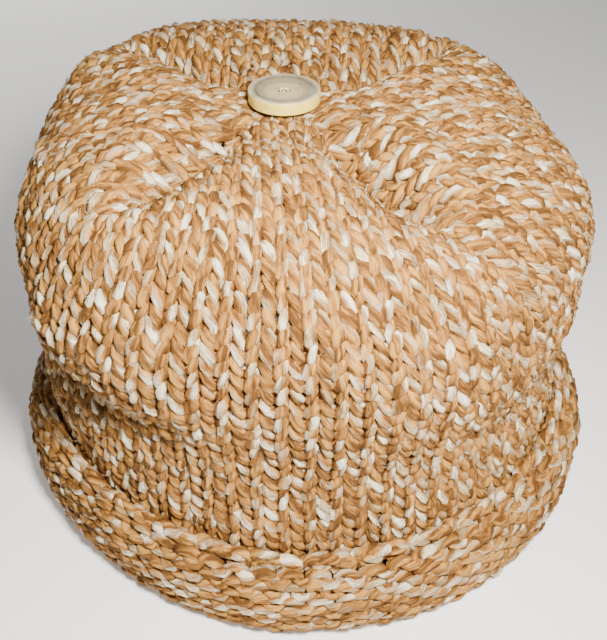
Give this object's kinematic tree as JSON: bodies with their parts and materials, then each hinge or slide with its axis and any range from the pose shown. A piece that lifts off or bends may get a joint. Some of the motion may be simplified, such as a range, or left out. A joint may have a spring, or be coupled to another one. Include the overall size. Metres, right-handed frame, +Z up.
{
  "type": "knitted tam with turned-up brim",
  "caption": "Chunky hand-knitted hat in marled yarn: panelled crown drawn together under a button, wall with soft folds, and a turned-up brim; open below for a head.",
  "frame": {"origin": "centre of the brim's round fold, on the surface that the hat rests on", "axes": "+Z up through the crown, +X to the wearer's left as the picture shows it, -Y towards the front"},
  "size_m": [0.2258, 0.2232, 0.1536],
  "materials": {
    "marled_yarn": "soft hand-knitted wool blend, caramel and cream twisted together, thick and thin",
    "pale_horn": "satin, greyish beige face, yellower side",
    "cream_thread": "twisted sewing thread"
  },
  "bodies": {
    "root": {"crown": "marled_yarn", "brim": "marled_yarn", "button": "pale_horn", "button_thread": "cream_thread"}
  },
  "joints": []
}
